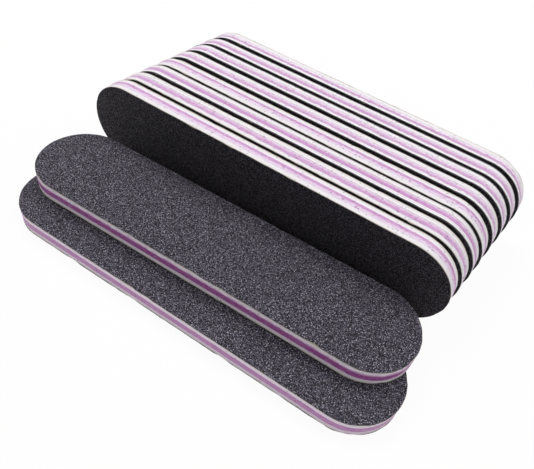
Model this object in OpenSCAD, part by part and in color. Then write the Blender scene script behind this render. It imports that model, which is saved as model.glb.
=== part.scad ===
// A set of small emery boards, all cut alike from one laminated sheet of foam and plastic.
// Eight stand on their long edges in a row, one lies flat in front of the row, and one
// lies on that one. Sizes are in millimetres. X runs along the boards, +Y runs from the
// front of the row to its back, +Z is up, and the origin is at the middle of the base.

/* [Board] */
// Length of a board over its two round ends
board_l = 90; // [60:1:180]
// Width of a board, which is also the diameter of its round ends
board_w = 20; // [14:0.5:30]

/* [Layers] */
// Thickness of the stiff plastic core
core_t = 1.5; // [0.8:0.1:3]
// Thickness of the foam layer on each side of the core
foam_t = 1; // [0.6:0.1:3]
// Thickness of an abrasive sheet, with its paper and its grit
sheet_t = 0.2; // [0.15:0.05:0.5]
// Thickness of a glue film between two layers
glue_t = 0.05; // [0.03:0.01:0.1]

/* [Cut edge] */
// How deep the foam's cut edge is hollowed where it sprang back after the die
foam_dish = 0.12; // [0.04:0.02:0.3]
// Radius that the die left on the outer rim of an abrasive sheet
sheet_round = 0.1; // [0.04:0.01:0.14]
// Chamfer on the two rims of the core
core_chamfer = 0.08; // [0.04:0.02:0.3]
// How far a glue film stops short of the cut edge
glue_setback = 0.15; // [0.05:0.05:0.5]

/* [Row] */
// Number of boards that stand in the row
row_count = 8; // [2:1:8]
// Mean clear gap between two neighbours in the row, where they come closest
row_gap = 0.67; // [0.5:0.01:1.5]
// How far the gaps differ from that mean, from the tightest to the loosest
gap_spread = 0.3; // [0:0.05:0.3]
// How far each board stands to the right of the one in front of it
row_step = 0.54; // [0:0.02:2]
// How many degrees each board is turned clockwise from the one in front of it
row_fan = 0.13; // [0:0.01:0.5]

/* [Flat boards] */
// Clear distance from the row back to the lower flat board
lower_clear = 9.55; // [6:0.05:12]
// How far the lower flat board's middle is to the right of the first standing board's
lower_right = 1.4; // [-5:0.1:5]
// Turn of the lower flat board in degrees, anticlockwise from above
lower_turn = 0.75; // [-3:0.05:3]
// Clear distance from the row back to the upper flat board
upper_clear = 1.65; // [1:0.05:5]
// How far the upper flat board's middle is to the right of the first standing board's
upper_right = -0.4; // [-5:0.1:5]
// Turn of the upper flat board in degrees, anticlockwise from above
upper_turn = 1.7; // [-3:0.05:3]
// Air left by the grit's high spots where the upper board lies on the lower one
rest_gap = 0.1; // [0.05:0.05:0.3]

/* [Hidden] */
$fn = 96;
// The gaps of the row in order, as shares of gap_spread either side of the mean
GAP_PATTERN = [-0.3, 0.2, -1.3, 1, 0.7, -0.3, 0.5];
// The layers of a board in the order in which they are stacked
SHEETS = ["front_sheet", "back_sheet"];
FOAMS = ["front_foam", "back_foam"];

end_r = board_w / 2;
straight_l = board_l - board_w;
// Depths of the layers, counted from the face of the front sheet
front_foam_at = sheet_t + glue_t;
core_at = front_foam_at + foam_t + glue_t;
back_foam_at = core_at + core_t + glue_t;
back_sheet_at = back_foam_at + foam_t + glue_t;
board_t = back_sheet_at + sheet_t;
film_depths = [sheet_t, core_at - glue_t, core_at + core_t, back_sheet_at - glue_t];
// The foam's hollow is an arc of this radius through the foam's two rims
dish_r = (foam_t * foam_t / 4 + foam_dish * foam_dish) / (2 * foam_dish);

// Where a standing board's middle is, counted from the first board's front face
fan_room = straight_l / 2 * sin(row_fan);
function row_pitch(i) = board_t + row_gap + gap_spread * GAP_PATTERN[i] + fan_room;
function row_y(i) = i == 0 ? board_t / 2 : row_y(i - 1) + row_pitch(i - 1);
function row_x(i) = row_step * i;
function row_turn(i) = -row_fan * i;

// Where a flat board's middle is, counted from the same face
function flat_half_y(turn) = end_r + straight_l / 2 * abs(sin(turn));
lower_y = -lower_clear - flat_half_y(lower_turn);
upper_y = -upper_clear - flat_half_y(upper_turn);
upper_z = board_t + rest_gap;

// The box round all the boards, whose middle is the origin
function row_half_x(i) = board_l / 2 * cos(row_turn(i)) + board_t / 2 * abs(sin(row_turn(i)));
function row_half_y(i) = board_t / 2 * cos(row_turn(i)) + board_l / 2 * abs(sin(row_turn(i)));
function flat_half_x(turn) = end_r + straight_l / 2 * cos(turn);
last = row_count - 1;
lows_x = [
    for (i = [0:last]) row_x(i) - row_half_x(i),
    lower_right - flat_half_x(lower_turn),
    upper_right - flat_half_x(upper_turn)
];
highs_x = [
    for (i = [0:last]) row_x(i) + row_half_x(i),
    lower_right + flat_half_x(lower_turn),
    upper_right + flat_half_x(upper_turn)
];
low_y = min(lower_y - flat_half_y(lower_turn), upper_y - flat_half_y(upper_turn));
high_y = row_y(last) + row_half_y(last);
origin_x = (min(lows_x) + max(highs_x)) / 2;
origin_y = (low_y + high_y) / 2;

// The boards by name: the standing ones are counted from the front
ROW = [for (i = [0:last]) str("row_", i + 1)];
BOARDS = concat(ROW, ["lower", "upper"]);
LAYERS = ["front_sheet", "front_foam", "core", "back_foam", "back_sheet", "glue_films"];

// Sweeps a profile round the outline of a board. The profile's x is the distance from the
// board's middle line to its edge, and its y is the height above the layer's lower face.
module along_outline() {
    rotate([90, 0, 90])
        translate([0, 0, -straight_l / 2])
            linear_extrude(straight_l) {
                children();
                mirror([1, 0]) children();
            }
    for (side = [0, 1])
        mirror([side, 0, 0])
            translate([straight_l / 2, 0, 0])
                rotate([0, 0, -90])
                    rotate_extrude(angle = 180) children();
}

// An abrasive sheet, with its grit side up and the rim of that side rounded
module abrasive_sheet() {
    color([0.2, 0.19, 0.22])
        along_outline() {
            square([end_r - sheet_round, sheet_t]);
            square([end_r, sheet_t - sheet_round]);
            translate([end_r - sheet_round, sheet_t - sheet_round]) circle(sheet_round);
        }
}

// A layer of white foam, with the hollow of its cut edge
module foam_layer() {
    color([0.95, 0.94, 0.95])
        along_outline()
            difference() {
                square([end_r, foam_t]);
                translate([end_r + dish_r - foam_dish, foam_t / 2]) circle(dish_r);
            }
}

// The stiff core that keeps the board straight, with both rims chamfered
module stiff_core() {
    color([0.8, 0.6, 0.8])
        along_outline()
            polygon([
                [0, 0],
                [end_r - core_chamfer, 0],
                [end_r, core_chamfer],
                [end_r, core_t - core_chamfer],
                [end_r - core_chamfer, core_t],
                [0, core_t]
            ]);
}

// The four glue films of one board, as separate solids
module glue_films() {
    color([0.85, 0.75, 0.5])
        for (depth = film_depths)
            translate([0, 0, depth])
                along_outline()
                    square([end_r - glue_setback, glue_t]);
}

// One layer of a board that lies flat with its front sheet down, its lowest face at zero
module layer(name) {
    if (name == "front_sheet")
        translate([0, 0, sheet_t]) mirror([0, 0, 1]) abrasive_sheet();
    if (name == "front_foam") translate([0, 0, front_foam_at]) foam_layer();
    if (name == "core") translate([0, 0, core_at]) stiff_core();
    if (name == "back_foam") translate([0, 0, back_foam_at]) foam_layer();
    if (name == "back_sheet") translate([0, 0, back_sheet_at]) abrasive_sheet();
    if (name == "glue_films") glue_films();
}

// Puts a flat board's layer where that board lies
module lay_flat(x, y, z, turn) {
    translate([x - origin_x, y - origin_y, z])
        rotate([0, 0, turn])
            children();
}

// Stands a layer up on the board's long edge, with the front sheet to the front
module stand_up(i) {
    translate([row_x(i) - origin_x, row_y(i) - origin_y, end_r])
        rotate([0, 0, row_turn(i)])
            translate([0, -board_t / 2, 0])
                rotate([-90, 0, 0])
                    children();
}

for (l = LAYERS) {
    for (i = [0:last])
        stand_up(i) layer(l);
    lay_flat(lower_right, lower_y, 0, lower_turn) layer(l);
    lay_flat(upper_right, upper_y, upper_z, upper_turn) layer(l);
}
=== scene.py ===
"""The looks of a set of small emery boards, each a laminate of grit, foam and plastic."""
import math

import bpy
import numpy as np
from mathutils import Matrix, Vector


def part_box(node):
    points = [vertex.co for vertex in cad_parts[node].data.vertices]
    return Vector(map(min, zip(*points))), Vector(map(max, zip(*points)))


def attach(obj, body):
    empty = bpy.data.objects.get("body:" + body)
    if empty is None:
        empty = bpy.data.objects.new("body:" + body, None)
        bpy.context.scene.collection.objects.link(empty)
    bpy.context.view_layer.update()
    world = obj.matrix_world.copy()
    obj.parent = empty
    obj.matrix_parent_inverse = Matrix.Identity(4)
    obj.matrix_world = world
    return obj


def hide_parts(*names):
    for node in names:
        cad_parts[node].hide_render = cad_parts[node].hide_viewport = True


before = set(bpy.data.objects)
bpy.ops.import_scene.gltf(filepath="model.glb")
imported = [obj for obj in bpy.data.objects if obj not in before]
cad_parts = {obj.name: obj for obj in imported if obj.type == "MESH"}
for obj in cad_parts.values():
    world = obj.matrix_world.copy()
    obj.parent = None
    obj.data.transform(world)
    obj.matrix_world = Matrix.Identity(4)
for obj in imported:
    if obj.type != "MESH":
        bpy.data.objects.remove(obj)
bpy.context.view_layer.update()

MM = 0.001

# The photograph's camera: its place in millimetres, its turns in degrees and its lens
CAMERA_AT = (38.39, -76.04, 89.27)
CAMERA_YAW = -25.917
CAMERA_PITCH = 47.687
CAMERA_ROLL = 10.183
CAMERA_LENS = 36.04

# How the turn of a board is sought: the greatest turn in radians, and the number of steps
MOST_TURN = 0.1
TURN_STEPS = 60
# What keeps the noise and the chance of one board apart from those of the next
SPOT_SHIFT = (31.7, 17.3, 23.1)
FIRST_SEED = 100

# Spacing of a mesh's points along the outline, and of the rings on a grit face
RUN_STEP = 0.9
RING_STEP = 1.3
GLUE_RUN_STEP = 1.5 * RUN_STEP
# How far in from the rounded rim the first ring lies, and how uneven the rings are
FIRST_RING = 0.4
RING_JITTER = 0.3
# How far inside the board's outline the cut edge of each layer stays, and the glue's
SHEET_BACK = 0.02
FOAM_BACK = 0.02
CORE_BACK = 0.005
GLUE_BACK = 0.13
# How a line wanders along the outline: how far, and its longest and shortest waves. The line
# between sheared and torn wanders by shares of the core's thickness, and a smear's tip by
# shares of its reach.
SHEET_WANDER = (0.02, 30, 2)
FOAM_WANDER = (0.02, 60, 4)
TORN_WANDER = (0.06, 80, 5)
SMEAR_WANDER = (0.2, 9, 1.2)
# The number of waves in such a line, and the turn from which each one's phase is drawn
WAVES = 12
PHASES = 6.3

# Depth of the grit's ground below the tips of its grains, and how uneven the ground is
GROUND_DEPTH = 0.05
GROUND_NOISE = 0.015
# Grains that stand proud of the ground on one face, their size, how crooked they are, and
# how far their tips differ in height, as a share of the ground's depth
PROUD_GRAINS = 900
GRAIN_SIZE = (0.05, 0.1)
GRAIN_SKEW = 0.3
TIP_SPREAD = 0.4
# The sheet's rim: its radius, where its points lie up the paper's straight edge, as shares
# of the sheet's thickness, and round the bend, as shares of a quarter turn
SHEET_ROUND = 0.1
WALL_ROWS = (0.25, 0.5)
BEND_ROWS = (0.35, 0.7, 1)
# How rough the sheet's edge is from side to side, and up its straight part and its bend
SHEET_ROUGH = 0.03
WALL_ROUGH = 0.01
BEND_ROUGH = 0.02
# Nicks in a sheet's edge: how many, how wide and how deep
NICKS = (14, 1.2, 0.2)
# A sheet's mark "across" is 0 at the foam and 1 at the top of the rim, and this on the face
FACE_MARK = 2.0

# The hollow of the foam's cut edge, the pores in it, and how many rows of points it has
FOAM_DISH = 0.12
FOAM_PORES = 0.03
FOAM_ROWS = 8

# The core's edge: its bevel, over a share of the thickness, and where its points lie, as
# shares of the thickness
CORE_CHAMFER = 0.08
CHAMFER_SHARE = 0.06
CORE_ROWS = (0, 0.06, 0.14, 0.24, 0.36, 0.44, 0.5, 0.58, 0.68, 0.78, 0.88, 0.95, 1)
# How far the torn part stands back from the sheared part, the share of the thickness over
# which it does so, and how rough it is
TORN_DEPTH = 0.05
TORN_SHARE = 0.12
TORN_ROUGH = 0.03
# How much of its full reach a smear of the core on the foam has on average and at least, and
# how far the core's edge bulges where a smear leaves it
SMEAR_MEAN = 0.6
SMEAR_LEAST = 0.2
SMEAR_BULGE = 0.01
# Points across the smear, from inside the foam to the core: the share of the way out to the
# smear's tip, and the depth below the foam's surface
SMEAR_ROWS = ((0, 0.3), (0.97, 0.1), (1, 0.0), (0.7, -0.01), (0.3, -0.01))

# How the boards differ. Lengths are in millimetres, and a pair is for the front and the back.
# cut: the side that the blade came in from, where the core's edge is smooth and deep in
# colour. sheared: the share of that edge which is smooth. fade: the share over which it
# turns torn. pale: how white the torn rest is. deep: painted shade, how far the
# core's colour is darkened to deep purple on boards whose edges face away from the lamps.
# paper: the share of a sheet's edge that is paper and not grit. sunk: how far foam and core
# stand back from the sheets. smear: how far the blade dragged the core over the foam.
# dust: the share of the foam's edge beside the sheet that is painted near black, which
# widens the dark seams between the standing boards. tinge: how pink the foam is. PLAIN_FACTS
# holds what a board has where BOARDS says nothing else.
PLAIN_FACTS = dict(
    fade=0.7, pale=1.0, deep=0.0, paper=(0, 0), sunk=0.0, smear=(0, 0), dust=(0, 0), tinge=0.05
)
BOARDS = {
    "row_1": dict(
        cut="back", sheared=0.3, fade=0.35, pale=0.75, paper=(0.5, 0.7), smear=(0, 0.25)
    ),
    "row_2": dict(
        cut="front", sheared=0.2, fade=0.9, pale=0.9, paper=(0.6, 1.0), smear=(0.25, 0)
    ),
    "row_3": dict(cut="front", sheared=0.5, fade=0.5, pale=0.8, dust=(0.16, 0.04)),
    "row_4": dict(
        cut="back", sheared=0.25, fade=0.35, pale=0.8, paper=(0.5, 1.0), smear=(0, 0.25)
    ),
    "row_5": dict(cut="front", sheared=0.15, pale=0.85, smear=(0.2, 0), dust=(0.1, 0.02)),
    "row_6": dict(cut="front", sheared=0.15, pale=0.9, smear=(0.2, 0), dust=(0.16, 0.08)),
    "row_7": dict(cut="front", sheared=0.25, pale=0.9, smear=(0.2, 0), dust=(0.08, 0.08)),
    "row_8": dict(
        cut="front", sheared=0.25, fade=0.4, paper=(0, 1.0), smear=(0.2, 0), dust=(0.08, 0)
    ),
    # Painted shade: the flat boards' cores are darkened towards deep purple, since their edges
    # face away from the lamps.
    "lower": dict(
        cut="front", sheared=0.9, pale=0.2, deep=0.38, paper=(0, 0.6), sunk=0.06, tinge=0.35
    ),
    "upper": dict(
        cut="back", sheared=0.8, pale=0.2, deep=1.0, paper=(1.0, 0.6), sunk=0.04,
        smear=(0.15, 0.35), tinge=0.3
    ),
}

# The grit of the two sheets. per_mm: its grains to a millimetre. gleam: how much it shines.
# darkest and palest: the colours of the dark and the pale grains. The third colour is a painted
# highlight: the few grains painted as if their facets caught the light.
GRITS = {
    # The front sheet's grit is darker and shines less than the back's: partly another grit,
    # partly painted shade for faces that turn away from the lamps.
    "front_sheet": dict(
        name="coarse_grit_and_painted_shade", per_mm=5.5, gleam=0.35, darkest=(0.0, 0.0, 0.0),
        palest=(0.065, 0.057, 0.078), painted_glint=(0.16, 0.15, 0.18)
    ),
    "back_sheet": dict(
        name="fine_grit", per_mm=5.0, gleam=0.75, darkest=(0.011, 0.01, 0.014),
        palest=(0.175, 0.158, 0.217), painted_glint=(0.7, 0.67, 0.78)
    ),
}
# The tint of the grit's shine, the grit's colour at the rim, and the paper's two colours
GRIT_SHEEN = (0.96, 0.93, 1.0)
GRIT_EDGE = (0.1, 0.09, 0.102)
PAPER = ((0.52, 0.47, 0.39), (0.76, 0.72, 0.66))
# Foam: its greyest and whitest spots, its pores, pink tinge, glue, a near-black band beside the
# sheet that widens the seams between boards, and specks
FOAM = ((0.86, 0.82, 0.86), (0.98, 0.97, 0.98))
FOAM_PORE = (0.7, 0.67, 0.7)
FOAM_PINK = (0.86, 0.62, 0.85)
FOAM_GLUE = (0.76, 0.67, 0.52)
FOAM_DARK_SEAM = (0.05, 0.043, 0.055)
FOAM_SPECK = (0.3, 0.26, 0.3)
# Core: lilac where it is smooth, with a deep purple as painted shade for edges facing away from
# the lamps; whitened, torn, its rim, lines and specks
CORE_AND_PAINTED_SHADE = ((0.62, 0.3, 0.6), (0.35, 0.07, 0.31))
CORE_WHITENED = (0.84, 0.6, 0.83)
CORE_TORN = (0.92, 0.84, 0.93)
CORE_RIM = (0.86, 0.74, 0.86)
CORE_LINE = (0.6, 0.27, 0.58)
CORE_SPECK = (0.3, 0.12, 0.29)
# Glue: its darkest and palest spots
GLUE = ((0.5, 0.4, 0.22), (0.68, 0.58, 0.38))

# The lamps: each one's place and size in metres, and its power in watts
LAMPS = {
    "softbox_left": ((-0.35, 0.15, 0.56), (0.4, 0.4), 2.2),
    "softbox_right": ((0.3, 0.3, 0.54), (0.4, 0.4), 1.7),
    "fill_front": ((0.05, -0.5, 0.45), (0.5, 0.4), 0.6),
}
# The strength of the room's own light
ROOM_LIGHT = 0.3
# The floor: its reach to each side in metres, how far below the boards it lies in
# millimetres, and how much of what the camera sees of it is its own glow
FLOOR_REACH = 1.5
FLOOR_DROP = 0.02
FLOOR_GLOW = 0.93


def node_points(name):
    """The corners of a node's mesh, in millimetres."""
    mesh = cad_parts[name].data
    points = np.empty(len(mesh.vertices) * 3)
    mesh.vertices.foreach_get("co", points)
    return points.reshape(-1, 3) / MM


def turn_of(points):
    """The turn about Z, in radians, at which the points take the least room along Y."""
    low, high = -MOST_TURN, MOST_TURN

    def room(turn):
        return np.ptp(points[:, 1] * math.cos(turn) - points[:, 0] * math.sin(turn))

    for _ in range(TURN_STEPS):
        third = (high - low) / 3
        if room(low + third) < room(high - third):
            high -= third
        else:
            low += third
    return (low + high) / 2


def middle_of(name):
    """The middle of a node's box, in millimetres."""
    low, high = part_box(name)
    return (Vector(low) + Vector(high)) / 2 / MM


def board_frame(board):
    """A board's own axes, as the columns of a matrix: x along it, y across it and z from
    its front face to its back face, with the origin in the middle of the front face."""
    turn = turn_of(node_points(board + "_core"))
    front = middle_of(board + "_front_sheet")
    through = (middle_of(board + "_back_sheet") - front).normalized()
    along = Vector((math.cos(turn), math.sin(turn), 0))
    turned = Matrix((along, through.cross(along), through)).transposed()
    sheet = node_points(board + "_front_sheet") @ np.array(through)
    origin = front + through * (sheet.min() - front.dot(through))
    return Matrix.Translation(origin * MM) @ turned.to_4x4()


def outline(step):
    """Points round a board's outline, one entry each: where on the board's middle line it
    is measured from, its outward direction, and how far along the outline it is. They
    start at the left tip and go round by the side where y is negative, so that point i
    faces point -i across the board."""
    quarter = round(END_R * math.pi / 2 / step)
    side = round(STRAIGHT / step)
    half = STRAIGHT / 2
    turn = np.concatenate([
        np.linspace(math.pi, 1.5 * math.pi, quarter, endpoint=False),
        np.full(side, 1.5 * math.pi),
        np.linspace(1.5 * math.pi, 2.5 * math.pi, 2 * quarter, endpoint=False),
        np.full(side, 2.5 * math.pi),
        np.linspace(2.5 * math.pi, 3 * math.pi, quarter, endpoint=False),
    ])
    start = np.concatenate([
        np.full(quarter, -half),
        np.linspace(-half, half, side, endpoint=False),
        np.full(2 * quarter, half),
        np.linspace(half, -half, side, endpoint=False),
        np.full(quarter, -half),
    ])
    way = np.stack([np.cos(turn), np.sin(turn)], 1)
    edge = np.stack([start, 0 * start], 1) + END_R * way
    steps = np.linalg.norm(np.roll(edge, -1, 0) - edge, axis=1)
    return start, way, np.concatenate([[0], np.cumsum(steps)[:-1]])


def wander(run, rng, far, longest, shortest):
    """A smooth closed curve of values along the outline, from about -far to far."""
    whole = run[-1] + run[1]
    value = 0 * run
    turns = np.unique(np.round(np.geomspace(whole / longest, whole / shortest, WAVES)))
    for count in turns:
        height = rng.normal()
        phase = rng.uniform(0, PHASES)
        value += height * np.sin(2 * math.pi * count * run / whole + phase)
    return far * (value / math.sqrt(len(turns)))


def nicks(run, rng, count, width, depth):
    """Small nicks in an edge: a few dents of random size at random places."""
    whole = run[-1] + run[1]
    value = 0 * run
    for place in rng.uniform(0, whole, count):
        off = np.abs((run - place + whole / 2) % whole - whole / 2)
        reach = width * rng.uniform(0.5, 1.5)
        value += depth * rng.uniform(0.3, 1) * np.clip(1 - off / reach, 0, 1)
    return value


def shell(rows, start, way):
    """The corners and faces of a closed shell. Each row is a ring of points, as distances
    from the middle line and heights; the first and last rows are closed by strips."""
    count = len(start)
    corners = []
    for reach, height in rows:
        reach = np.broadcast_to(reach, count)
        height = np.broadcast_to(height, count)
        corners.append(np.stack([start + reach * way[:, 0], reach * way[:, 1], height], 1))
    here = np.arange(count)
    there = np.roll(here, -1)
    faces = []
    for row in range(len(rows) - 1):
        low, high = row * count, (row + 1) * count
        ring = np.stack([low + here, low + there, high + there, high + here], 1)
        faces += ring.tolist()
    last = (len(rows) - 1) * count
    for i in range(count // 2):
        strip = [i, i + 1, count - i - 1, (count - i) % count]
        if i == 0:
            strip = [0, 1, count - 1]
        elif i == count // 2 - 1:
            strip = [i, i + 1, i + 2]
        faces.append(strip[::-1])
        faces.append([last + k for k in strip])
    return np.concatenate(corners), faces


def new_piece(board, layer, corners, faces, marks, material):
    """A piece that replaces a layer of a board. The corners are in millimetres on the
    board's own axes, and each mark is a number for every corner."""
    name = f"{board.name}_{layer}_piece"
    mesh = bpy.data.meshes.new(name)
    mesh.from_pydata(board.placed(corners).tolist(), [], faces)
    spots = mesh.attributes.new("spot", "FLOAT_VECTOR", "POINT")
    shift = board.number * np.array(SPOT_SHIFT)
    spots.data.foreach_set("vector", (corners + shift).astype(np.float32).ravel())
    for mark, values in marks.items():
        values = np.broadcast_to(values, len(corners)).astype(np.float32)
        mesh.attributes.new(mark, "FLOAT", "POINT").data.foreach_set("value", values)
    mesh.polygons.foreach_set("use_smooth", [len(f) > 3 for f in faces])
    mesh.materials.append(material)
    mesh.validate()
    piece = bpy.data.objects.new(name, mesh)
    bpy.context.scene.collection.objects.link(piece)
    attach(piece, board.name + "_board")
    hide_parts(f"{board.name}_{layer}")
    return piece


class Board:
    """One board: its axes, its layers' depths and its own run of chance."""

    def __init__(self, name, number):
        self.name = name
        self.number = number
        self.rng = np.random.default_rng(FIRST_SEED + number)
        self.axes = board_frame(name)
        self.facts = PLAIN_FACTS | BOARDS[name]

    def placed(self, corners):
        """Corners on the board's axes, in millimetres, as places in the room in metres."""
        axes = np.array(self.axes)
        return corners @ axes[:3, :3].T * MM + axes[:3, 3]

    def span(self, layer):
        """Where a layer starts and ends, in millimetres from the board's front face."""
        from_face = node_points(f"{self.name}_{layer}") - np.array(self.axes.translation) / MM
        depths = from_face @ np.array(self.axes.col[2][:3])
        return depths.min(), depths.max()

    def abrasive_sheet(self, layer):
        """A sheet of paper with grit on its outer face, rounded over at the rim."""
        rng = self.rng
        low, high = self.span(layer)
        up = -1 if layer == "front_sheet" else 1
        inner, outer = (high, low) if up < 0 else (low, high)
        start, way, run = outline(RUN_STEP)
        ragged = wander(run, rng, *SHEET_WANDER) + SHEET_ROUGH * rng.random(len(run)) + SHEET_BACK
        edge = END_R - ragged.clip(0) - nicks(run, rng, *NICKS)
        thick = high - low
        rows = [(edge, inner)]
        across = [0.0]
        for share in WALL_ROWS:
            reach = edge - WALL_ROUGH * rng.random(len(run))
            rows.append((reach, inner + up * thick * share))
            across.append(share)
        for share in BEND_ROWS:
            turn = share * math.pi / 2
            reach = edge - SHEET_ROUND * (1 - math.cos(turn)) - BEND_ROUGH * rng.random(len(run))
            rise = thick - SHEET_ROUND * (1 - math.sin(turn)) - GROUND_DEPTH * share
            rows.append((reach, inner + up * rise))
            across.append(0.5 + share / 2)
        for reach in np.arange(END_R - SHEET_ROUND - FIRST_RING, 0, -RING_STEP):
            uneven = (reach > RING_STEP) * RING_STEP * RING_JITTER
            jitter = uneven * (rng.random(len(run)) - 0.5)
            ground = GROUND_DEPTH - GROUND_NOISE * (rng.random(len(run)) - 0.5)
            rows.append((reach + jitter, outer - up * ground))
            across.append(FACE_MARK)
        corners, faces = shell(rows, start, way)
        if up < 0:
            faces = [f[::-1] for f in faces]
        grains, grain_faces = proud_grains(rng, outer, up)
        faces += (grain_faces + len(corners)).tolist()
        marks = {
            "across": np.append(np.repeat(across, len(run)), np.full(len(grains), FACE_MARK)),
            "paper": self.facts["paper"][layer == "back_sheet"],
        }
        corners = np.concatenate([corners, grains])
        return new_piece(self, layer, corners, faces, marks, grit_looks[layer])

    def hollow(self, far):
        """How deep the foam's cut edge lies at a distance from the core."""
        low, high = self.span("front_foam")
        return FOAM_DISH * (1 - (2 * far / (high - low) - 1) ** 2)

    def foam_layer(self, layer):
        """A foam layer, whose cut edge sprang back into a shallow hollow."""
        rng = self.rng
        low, high = self.span(layer)
        start, way, run = outline(RUN_STEP)
        soft = wander(run, rng, *FOAM_WANDER)
        rows, across = [], []
        for share in np.linspace(0, 1, FOAM_ROWS):
            dish = FOAM_DISH * (1 - (2 * share - 1) ** 2)
            pores = FOAM_PORES * rng.random(len(run)) ** 3
            back = (FOAM_BACK + dish + soft + pores).clip(0) + self.facts["sunk"]
            rows.append((END_R - back, low + share * (high - low)))
            across.append(share if layer == "front_foam" else 1 - share)
        corners, faces = shell(rows, start, way)
        marks = {
            "across": np.repeat(across, len(run)),
            "dust": self.facts["dust"][layer == "back_foam"],
            "tinge": self.facts["tinge"],
        }
        return new_piece(self, layer, corners, faces, marks, foam_look)

    def smear_rows(self, edge, start, way, reach):
        """The part of the core that was dragged over the foam, from its tip to the core."""
        return [
            (edge - self.hollow(out * reach) - under, start + way * out * reach)
            for out, under in SMEAR_ROWS
        ]

    def core(self):
        """The core, whose edge the blade sheared smooth on one side and tore on the
        other, and dragged out over the foam a little."""
        rng = self.rng
        low, high = self.span("core")
        facts = self.facts
        start, way, run = outline(RUN_STEP)
        drift = wander(run, rng, *TORN_WANDER)
        fray = (SMEAR_MEAN + wander(run, rng, *SMEAR_WANDER)).clip(SMEAR_LEAST, 1)
        edge = END_R - CORE_BACK - facts["sunk"]
        front, back = (smear * fray for smear in facts["smear"])
        first = self.smear_rows(edge, low, -1, front) if facts["smear"][0] else []
        last = self.smear_rows(edge, high, 1, back)[::-1] if facts["smear"][1] else []
        rows = []
        for share in CORE_ROWS:
            from_cut = share if facts["cut"] == "front" else 1 - share
            torn = np.clip((from_cut - facts["sheared"] - drift) / TORN_SHARE, 0, 1)
            rough = torn * (TORN_DEPTH + TORN_ROUGH * rng.random(len(run)))
            rim = CORE_CHAMFER * max(0, 1 - min(share, 1 - share) / CHAMFER_SHARE)
            if facts["smear"][share > 0.5]:
                rim = -SMEAR_BULGE * abs(2 * share - 1)
            rows.append((edge - rim - rough, low + share * (high - low)))
        corners, faces = shell(first + rows + last, start, way)
        depths = [0.0] * len(first) + list(CORE_ROWS) + [1.0] * len(last)
        depths = np.repeat(depths, len(run))
        marks = {mark: facts[mark] for mark in ("sheared", "fade", "pale", "deep")}
        marks["across"] = depths if facts["cut"] == "front" else 1 - depths
        return new_piece(self, "core", corners, faces, marks, core_look)

    def glue_films(self):
        """The four glue films, set back from the cut edge."""
        layers = ["front_sheet", "front_foam", "core", "back_foam", "back_sheet"]
        start, way, _ = outline(GLUE_RUN_STEP)
        reach = END_R - GLUE_BACK - self.facts["sunk"]
        corners, faces = [], []
        for before, after in zip(layers, layers[1:]):
            rows = [(reach, self.span(before)[1]), (reach, self.span(after)[0])]
            film, film_faces = shell(rows, start, way)
            faces += [[len(corners) * len(film) + k for k in f] for f in film_faces]
            corners.append(film)
        return new_piece(self, "glue_films", np.concatenate(corners), faces, {}, glue_look)

    def dress(self):
        """Replaces the board's layers by detailed ones that ride on its body."""
        for layer in ("front_sheet", "back_sheet"):
            self.abrasive_sheet(layer)
        for layer in ("front_foam", "back_foam"):
            piece = self.foam_layer(layer)
        self.core()
        self.glue_films()


def proud_grains(rng, height, up):
    """Sharp four-cornered grains, strewn over a face at a height, with their tips up."""
    count = PROUD_GRAINS
    x = rng.uniform(-STRAIGHT / 2 - END_R, STRAIGHT / 2 + END_R, count * 2)
    y = rng.uniform(-END_R, END_R, count * 2)
    beyond = np.clip(np.abs(x) - STRAIGHT / 2, 0, None)
    inside = np.flatnonzero(np.hypot(beyond, y) < END_R - 2 * GRAIN_SIZE[1])[:count]
    centre = np.stack([x[inside], y[inside]], 1)
    size = rng.uniform(*GRAIN_SIZE, len(inside))
    spin = rng.uniform(0, 2 * math.pi, len(inside))
    corners = np.empty((len(inside), 4, 3))
    for k in range(3):
        turn = spin + k * 2 * math.pi / 3 + rng.normal(0, GRAIN_SKEW, len(inside))
        corners[:, k, 0] = centre[:, 0] + size * np.cos(turn)
        corners[:, k, 1] = centre[:, 1] + size * np.sin(turn)
        corners[:, k, 2] = height - up * (GROUND_DEPTH + GROUND_NOISE)
    lean = rng.normal(0, GRAIN_SKEW, (len(inside), 2))
    corners[:, 3, :2] = centre + lean * size[:, None]
    corners[:, 3, 2] = height - up * rng.uniform(0, TIP_SPREAD * GROUND_DEPTH, len(inside))
    first = 4 * np.arange(len(inside))[:, None]
    pattern = [(0, 1, 3), (1, 2, 3), (2, 0, 3), (0, 2, 1)]
    if up < 0:
        pattern = [p[::-1] for p in pattern]
    faces = np.concatenate([first + np.array(p) for p in pattern])
    return corners.reshape(-1, 3), faces


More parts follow.
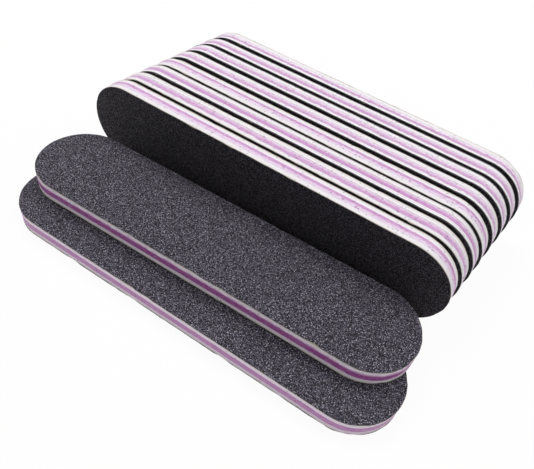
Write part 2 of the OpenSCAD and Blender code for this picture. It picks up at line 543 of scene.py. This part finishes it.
class Look:
    """A node material with one glossy shader, and short ways to add nodes to it."""

    def __init__(self, name, roughness, specular=0.5):
        self.material = bpy.data.materials.new(name)
        self.material.use_nodes = True
        self.tree = self.material.node_tree
        self.tree.nodes.clear()
        self.shader = self.add("ShaderNodeBsdfPrincipled")
        self.shader.inputs["Roughness"].default_value = roughness
        self.shader.inputs["Specular IOR Level"].default_value = specular
        output = self.add("ShaderNodeOutputMaterial")
        self.join(self.shader.outputs[0], output.inputs["Surface"])

    def add(self, kind, **settings):
        node = self.tree.nodes.new(kind)
        for key, value in settings.items():
            setattr(node, key, value)
        return node

    def join(self, value, socket):
        """Puts a number, a colour or another node's output into a socket."""
        if isinstance(value, bpy.types.NodeSocket):
            self.tree.links.new(value, socket)
        elif isinstance(value, tuple) and len(value) == 3 and socket.type == "RGBA":
            socket.default_value = (*value, 1)
        else:
            socket.default_value = value

    def mark(self, name):
        """A number that the mesh's corners carry."""
        return self.add("ShaderNodeAttribute", attribute_name=name).outputs["Fac"]

    def spot(self, along=1.0, across=1.0):
        """The place on the board in millimetres, stretched along it and across it."""
        node = self.add("ShaderNodeVectorMath", operation="MULTIPLY")
        spot = self.add("ShaderNodeAttribute", attribute_name="spot").outputs["Vector"]
        self.join(spot, node.inputs[0])
        self.join((along, along, across), node.inputs[1])
        return node.outputs[0]

    def math(self, operation, *values):
        node = self.add("ShaderNodeMath", operation=operation)
        for value, socket in zip(values, node.inputs):
            self.join(value, socket)
        return node.outputs[0]

    def noise(self, spot, scale, detail=2.0, roughness=0.5):
        node = self.add("ShaderNodeTexNoise")
        self.join(spot, node.inputs["Vector"])
        self.join(scale, node.inputs["Scale"])
        self.join(detail, node.inputs["Detail"])
        self.join(roughness, node.inputs["Roughness"])
        return node.outputs["Fac"]

    def cells(self, spot, scale):
        """Random cells: the distance to a cell's middle, and two random numbers."""
        node = self.add("ShaderNodeTexVoronoi")
        self.join(spot, node.inputs["Vector"])
        self.join(scale, node.inputs["Scale"])
        split = self.add("ShaderNodeSeparateColor")
        self.join(node.outputs["Color"], split.inputs[0])
        return node.outputs["Distance"], split.outputs[0], split.outputs[1]

    def ramp(self, value, low, high):
        """Takes a value's stretch from low to high smoothly to 0 to 1."""
        node = self.add("ShaderNodeMapRange", interpolation_type="SMOOTHSTEP")
        self.join(value, node.inputs["Value"])
        self.join(low, node.inputs["From Min"])
        self.join(high, node.inputs["From Max"])
        return node.outputs["Result"]

    def mix(self, share, first, second):
        node = self.add("ShaderNodeMix", data_type="RGBA")
        self.join(share, node.inputs[0])
        self.join(first, node.inputs[6])
        self.join(second, node.inputs[7])
        return node.outputs[2]

    def bump(self, height, strength, distance):
        """Relief on the surface, with its full height as a distance in millimetres."""
        node = self.add("ShaderNodeBump")
        self.join(height, node.inputs["Height"])
        self.join(strength, node.inputs["Strength"])
        self.join(distance * MM, node.inputs["Distance"])
        self.join(node.outputs[0], self.shader.inputs["Normal"])

    def specks(self, colour, size, share, dark):
        """Adds sparse dark specks to a colour: grit dust that the cutting left."""
        distance, chance, depth = self.cells(self.spot(along=1.1, across=1.8), 1.0)
        near = self.ramp(distance, size, size / 2)
        chosen = self.ramp(chance, 1 - share, 1 - 0.9 * share)
        speck = self.math("MULTIPLY", near, chosen)
        depth = self.math("MULTIPLY_ADD", depth, 0.5, 0.4)
        return self.mix(self.math("MULTIPLY", speck, depth), colour, dark)


def make_grit_look(name, per_mm, gleam, darkest, palest, painted_glint):
    """Black grit with a violet cast and painted glints, over paper that shows at the cut edge."""
    look = Look(name, roughness=0.55, specular=gleam)
    look.join(GRIT_SHEEN, look.shader.inputs["Specular Tint"])
    spot = look.spot()
    distance, tone, shine = look.cells(spot, per_mm)
    relief = look.noise(spot, per_mm, detail=3.0, roughness=0.75)
    broad = look.noise(spot, 0.15)
    level = look.math("MULTIPLY_ADD", broad, 0.05, tone)
    level = look.math("MULTIPLY_ADD", relief, 0.15, level)
    level = look.math("MULTIPLY_ADD", level, 0.5, 0.9)
    level = look.math("MULTIPLY_ADD", distance, -1.2, level)
    bright = look.ramp(level, 0.5, 0.95)
    grit = look.mix(bright, darkest, palest)
    # Painted highlight: a few grains take the glint colour, as if their facets caught the light.
    glint_share = look.math("MULTIPLY", look.ramp(shine, 0.8, 0.88), look.ramp(distance, 0.5, 0.3))
    grit = look.mix(glint_share, grit, painted_glint)
    across = look.mark("across")
    grit = look.mix(look.ramp(across, 0.99, 0.9), grit, GRIT_EDGE)
    ragged = look.noise(look.spot(along=2.5, across=0.0), 1.0, detail=3.0, roughness=0.7)
    edge = look.math("MULTIPLY_ADD", ragged, 0.9, look.math("ADD", across, -0.45))
    paper_end = look.math("MULTIPLY_ADD", look.mark("paper"), 1.2, -0.1)
    covered = look.ramp(look.math("SUBTRACT", edge, paper_end), -0.08, 0.08)
    fibre = look.noise(look.spot(along=3.0, across=8.0), 1.0)
    colour = look.mix(covered, look.mix(fibre, *PAPER), grit)
    look.join(colour, look.shader.inputs["Base Color"])
    rough = look.math("MULTIPLY_ADD", shine, 0.1, 0.9)
    rough = look.math("MULTIPLY_ADD", bright, -0.6, rough)
    look.join(rough, look.shader.inputs["Roughness"])
    height = look.math("MULTIPLY_ADD", distance, 0.25, relief)
    look.bump(height, strength=1.0, distance=0.3)
    return look.material


def make_foam_look():
    """White closed-cell foam with fine pores, tan where it meets the glue, and painted near black
    in a band beside the sheet, which widens the dark seams between standing boards."""
    look = Look("foam", roughness=0.8, specular=0.3)
    distance, tone, _ = look.cells(look.spot(), 6.0)
    clouds = look.noise(look.spot(along=0.5, across=2.0), 1.0, detail=3.0)
    white = look.mix(clouds, *FOAM)
    white = look.mix(look.math("MULTIPLY", tone, 0.15), white, FOAM_PORE)
    white = look.mix(look.mark("tinge"), white, FOAM_PINK)
    across = look.mark("across")
    glue = look.math("MULTIPLY", look.ramp(across, 0.18, 0.02), 0.6)
    white = look.mix(glue, white, FOAM_GLUE)
    # A near-black band on the foam beside the sheet, as wide as the board's mark says, widens the
    # dark seams between the standing boards.
    width = look.mark("dust")
    ragged = look.noise(look.spot(along=2.5, across=0.0), 1.0, detail=3.0, roughness=0.7)
    ragged = look.math("MULTIPLY_ADD", ragged, 0.3, -0.15)
    beyond = look.math("SUBTRACT", look.math("ADD", across, ragged), width)
    seam_darkened = look.math("MULTIPLY", look.ramp(beyond, 0.06, -0.02), look.ramp(width, 0.0, 0.06))
    white = look.mix(seam_darkened, white, FOAM_DARK_SEAM)
    white = look.specks(white, size=0.3, share=0.35, dark=FOAM_SPECK)
    look.join(white, look.shader.inputs["Base Color"])
    look.join(look.math("MULTIPLY_ADD", tone, 0.2, 0.65), look.shader.inputs["Roughness"])
    look.bump(distance, strength=0.4, distance=0.08)
    return look.material


def make_core_look():
    """Lilac plastic: deep and smooth where the blade sheared it, whitened where it tore, and
    painted a deeper purple as shade on boards whose edges face away from the lamps.
    """
    look = Look("core", roughness=0.45)
    across = look.mark("across")
    streaks = look.noise(look.spot(along=0.1, across=4.5), 1.0, detail=4.0, roughness=0.8)
    mottle = look.noise(look.spot(along=1.3, across=3.0), 1.0, detail=3.0, roughness=0.7)
    shifted = look.math("MULTIPLY_ADD", streaks, 0.9, look.math("ADD", across, -0.45))
    shifted = look.math("MULTIPLY_ADD", mottle, 0.4, look.math("ADD", shifted, -0.2))
    beyond = look.math("SUBTRACT", shifted, look.mark("sheared"))
    torn = look.ramp(beyond, -0.05, look.mark("fade"))
    blotches = look.math("MULTIPLY_ADD", look.ramp(mottle, 0.3, 0.6), 0.5, 0.55)
    torn = look.math("MULTIPLY", look.math("MULTIPLY", torn, blotches), look.mark("pale"))
    # Painted shade: boards marked for it get a deeper purple, as shade on core edges that face
    # away from the lamps.
    smooth = look.mix(look.mark("deep"), *CORE_AND_PAINTED_SHADE)
    whitened = look.math("MULTIPLY", look.ramp(mottle, 0.45, 0.7), 0.3)
    smooth = look.mix(whitened, smooth, CORE_WHITENED)
    colour = look.mix(torn, smooth, CORE_TORN)
    rim = look.math("MULTIPLY", look.ramp(across, 0.08, 0.0), 0.4)
    colour = look.mix(rim, colour, CORE_RIM)
    lines = look.math("MULTIPLY", look.ramp(streaks, 0.5, 0.75), look.ramp(blotches, 0.3, 0.7))
    colour = look.mix(look.math("MULTIPLY", lines, 0.35), colour, CORE_LINE)
    colour = look.specks(colour, size=0.38, share=0.5, dark=CORE_SPECK)
    look.join(colour, look.shader.inputs["Base Color"])
    look.join(look.math("MULTIPLY_ADD", torn, 0.35, 0.38), look.shader.inputs["Roughness"])
    height = look.math("MULTIPLY_ADD", mottle, 0.6, streaks)
    look.bump(height, strength=0.5, distance=0.08)
    return look.material


def make_glue_look():
    """Tan pressure glue with small bubbles."""
    look = Look("glue", roughness=0.4)
    bubbles = look.noise(look.spot(), 1.5, detail=3.0)
    look.join(look.mix(bubbles, *GLUE), look.shader.inputs["Base Color"])
    look.bump(bubbles, strength=0.3, distance=0.05)
    return look.material


def make_camera():
    """The photograph's camera."""
    yaw, pitch, roll = (math.radians(a) for a in (CAMERA_YAW, CAMERA_PITCH, CAMERA_ROLL))
    ahead = Vector((
        math.sin(yaw) * math.cos(pitch), math.cos(yaw) * math.cos(pitch), -math.sin(pitch)
    ))
    right = Vector((math.cos(yaw), -math.sin(yaw), 0))
    up = right.cross(ahead)
    rolled_right = math.cos(roll) * right + math.sin(roll) * up
    rolled_up = math.cos(roll) * up - math.sin(roll) * right
    data = bpy.data.cameras.new("photo_camera")
    data.lens = CAMERA_LENS
    data.sensor_width = 36
    data.sensor_fit = "HORIZONTAL"
    data.clip_start = 0.005
    camera = bpy.data.objects.new("photo_camera", data)
    turned = Matrix((rolled_right, rolled_up, -ahead)).transposed().to_4x4()
    camera.matrix_world = Matrix.Translation(Vector(CAMERA_AT) * MM) @ turned
    bpy.context.scene.collection.objects.link(camera)
    bpy.context.scene.camera = camera


def make_floor():
    """A white floor that shows white to the camera and keeps a soft shadow."""
    half = FLOOR_REACH
    mesh = bpy.data.meshes.new("floor")
    mesh.from_pydata(
        [(-half, -half, 0), (half, -half, 0), (half, half, 0), (-half, half, 0)],
        [],
        [(0, 1, 2, 3)],
    )
    material = bpy.data.materials.new("floor")
    material.use_nodes = True
    tree = material.node_tree
    shader = tree.nodes["Principled BSDF"]
    shader.inputs["Base Color"].default_value = (0.95, 0.95, 0.95, 1)
    shader.inputs["Roughness"].default_value = 0.9
    glow = tree.nodes.new("ShaderNodeEmission")
    path = tree.nodes.new("ShaderNodeLightPath")
    share = tree.nodes.new("ShaderNodeMath")
    share.operation = "MULTIPLY"
    share.inputs[1].default_value = FLOOR_GLOW
    blend = tree.nodes.new("ShaderNodeMixShader")
    tree.links.new(path.outputs["Is Camera Ray"], share.inputs[0])
    tree.links.new(share.outputs[0], blend.inputs[0])
    tree.links.new(shader.outputs[0], blend.inputs[1])
    tree.links.new(glow.outputs[0], blend.inputs[2])
    tree.links.new(blend.outputs[0], tree.nodes["Material Output"].inputs["Surface"])
    mesh.materials.append(material)
    floor = bpy.data.objects.new("floor", mesh)
    floor.location.z = -FLOOR_DROP * MM
    bpy.context.scene.collection.objects.link(floor)


def make_lights():
    """Soft lamps above and behind the row, and a weak one in front, in a white room."""
    world = bpy.data.worlds.new("room")
    world.use_nodes = True
    background = world.node_tree.nodes["Background"]
    background.inputs["Color"].default_value = (1, 1, 1, 1)
    background.inputs["Strength"].default_value = ROOM_LIGHT
    bpy.context.scene.world = world
    for name, (place, size, power) in LAMPS.items():
        data = bpy.data.lights.new(name, "AREA")
        data.shape = "RECTANGLE"
        data.size, data.size_y = size
        data.energy = power
        lamp = bpy.data.objects.new(name, data)
        lamp.location = place
        lamp.rotation_euler = Vector(place).to_track_quat("Z", "Y").to_euler()
        bpy.context.scene.collection.objects.link(lamp)


# The outline of a board, measured on the first one's core: the radius of its ends and the
# length of its straight sides
core_points = node_points("row_1_core")
END_R = np.ptp(core_points[:, 2]) / 2
STRAIGHT = np.ptp(core_points[:, 0]) - 2 * END_R

grit_looks = {layer: make_grit_look(**facts) for layer, facts in GRITS.items()}
foam_look = make_foam_look()
core_look = make_core_look()
glue_look = make_glue_look()
for order, board_name in enumerate(BOARDS):
    Board(board_name, order).dress()
make_camera()
make_floor()
make_lights()
bpy.context.scene.view_settings.view_transform = "Standard"
